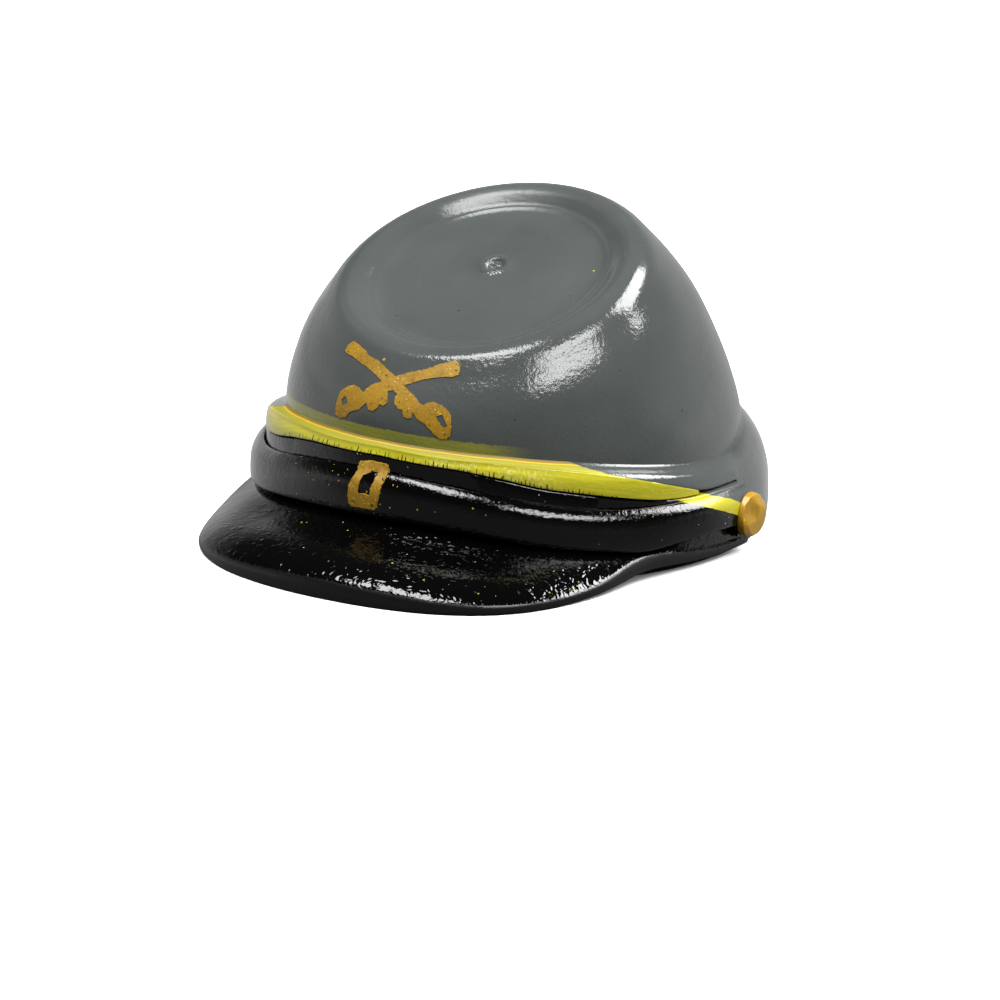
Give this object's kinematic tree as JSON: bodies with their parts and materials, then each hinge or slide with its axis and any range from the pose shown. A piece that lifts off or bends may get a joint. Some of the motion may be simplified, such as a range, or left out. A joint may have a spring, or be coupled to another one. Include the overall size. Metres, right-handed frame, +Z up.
{
  "type": "kepi cap",
  "caption": "Toy figure's kepi: leaning crown with a sunken round top, rolled band, chin strap with buckle and side buttons, short sloping peak and a crossed-sabre badge.",
  "frame": {"origin": "on the surface that the cap rests on, in the middle of its outline seen from above", "axes": "+Z up, the peak points along -Y, the wearer's left is +X"},
  "size_m": [0.014, 0.0154, 0.008],
  "materials": {
    "grey_plastic": "glossy moulded plastic, painted, with a fine orange-peel skin",
    "black_plastic": "glossy black paint over a slightly leathery skin",
    "yellow_paint": "translucent yellow paint laid on by brush",
    "gold_paint": "grainy metallic gold ink"
  },
  "bodies": {
    "root": {"band": "grey_plastic", "buckle": "gold_paint", "chin_strap": "black_plastic", "crown": "grey_plastic", "front_band": "black_plastic", "peak": "black_plastic", "piping": "yellow_paint", "sabre_badge": "gold_paint", "side_button_left": "gold_paint", "side_button_right": "gold_paint", "stud_socket": "grey_plastic"}
  },
  "joints": []
}
